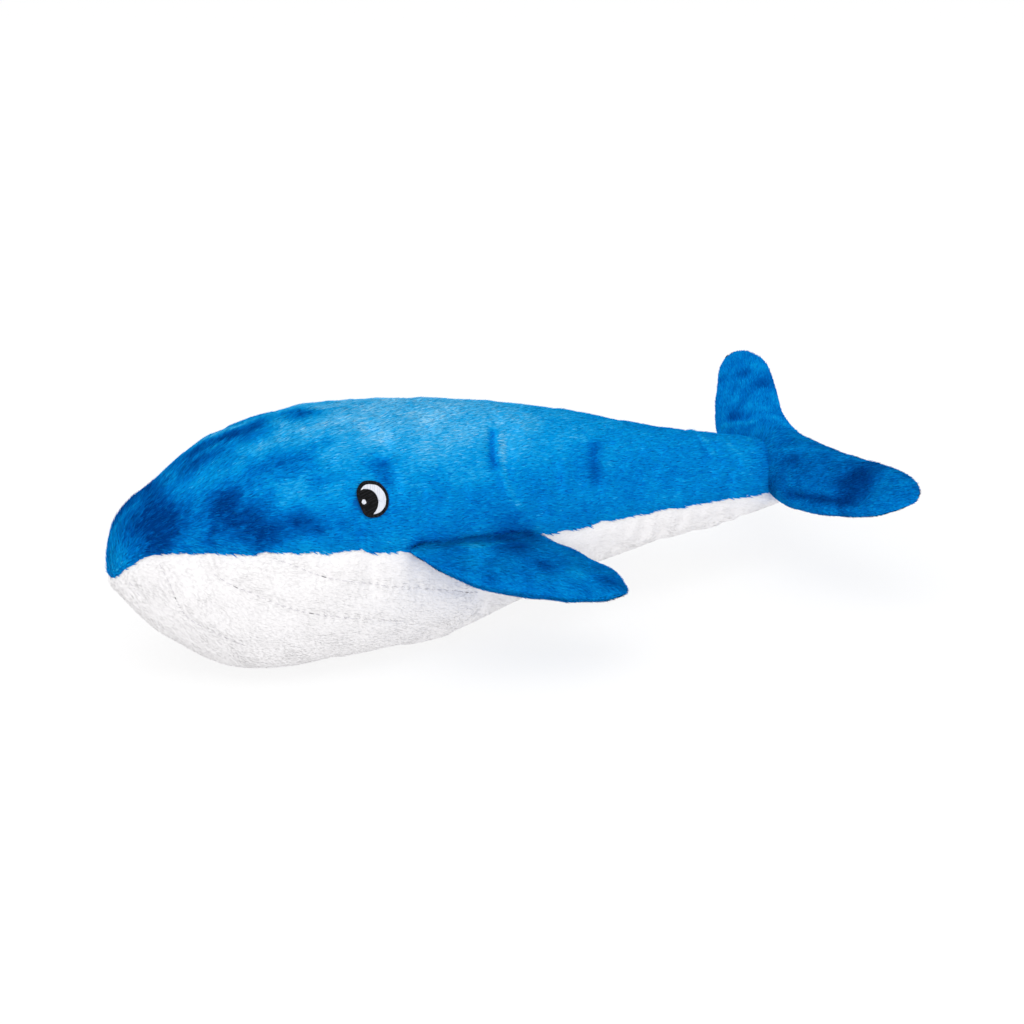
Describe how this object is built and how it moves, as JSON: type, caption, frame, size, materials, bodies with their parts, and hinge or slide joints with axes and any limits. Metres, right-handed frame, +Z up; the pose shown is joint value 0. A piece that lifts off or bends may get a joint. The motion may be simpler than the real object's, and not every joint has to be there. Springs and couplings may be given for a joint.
{
  "type": "plush whale",
  "caption": "Stuffed toy whale with a blue plush back, white plush belly, hinged side fins, a hinged tail fluke and embroidered eyes, lying on its belly.",
  "frame": {"origin": "On the floor plane, on the flat that the belly rests on, under the middle of the body's width.", "axes": "+Z up, +X from the nose to the tail, +Y to the whale's right side."},
  "size_m": [0.4533, 0.2268, 0.144],
  "materials": {
    "blue_plush": "short pile",
    "white_plush": "short pile",
    "stuffing": "loose fibre",
    "black_thread": "embroidered",
    "white_thread": "embroidered"
  },
  "bodies": {
    "body": {"back_panel_left": "blue_plush", "back_panel_right": "blue_plush", "belly_panel": "white_plush", "body_stuffing": "stuffing", "eye_left_outline": "black_thread", "eye_left_white": "white_thread", "eye_left_pupil": "black_thread", "eye_left_glint": "white_thread", "eye_right_outline": "black_thread", "eye_right_white": "white_thread", "eye_right_pupil": "black_thread", "eye_right_glint": "white_thread"},
    "fin_left": {"fin_left_upper_panel": "blue_plush", "fin_left_lower_panel": "blue_plush", "fin_left_stuffing": "stuffing"},
    "fin_right": {"fin_right_upper_panel": "blue_plush", "fin_right_lower_panel": "blue_plush", "fin_right_stuffing": "stuffing"},
    "fluke": {"fluke_upper_panel": "blue_plush", "fluke_lower_panel": "blue_plush", "fluke_left_stuffing": "stuffing", "fluke_right_stuffing": "stuffing"}
  },
  "joints": [
    {"name": "fin_left_flap", "type": "hinge", "parent": "body", "child": "fin_left", "pos_m": [0.028, -0.06191, 0.07175], "axis": [-0.9795, -0.1655, 0.115], "range_deg": [-30, 45], "stiffness_Nm_per_rad": 0.05},
    {"name": "fin_right_flap", "type": "hinge", "parent": "body", "child": "fin_right", "pos_m": [0.028, 0.06191, 0.07175], "axis": [0.9795, -0.1655, -0.115], "range_deg": [-30, 45], "stiffness_Nm_per_rad": 0.05},
    {"name": "fluke_flap", "type": "hinge", "parent": "body", "child": "fluke", "pos_m": [0.281, 0, 0.064], "axis": [0, -0.9954, -0.0958], "range_deg": [-25, 25], "stiffness_Nm_per_rad": 0.08}
  ]
}
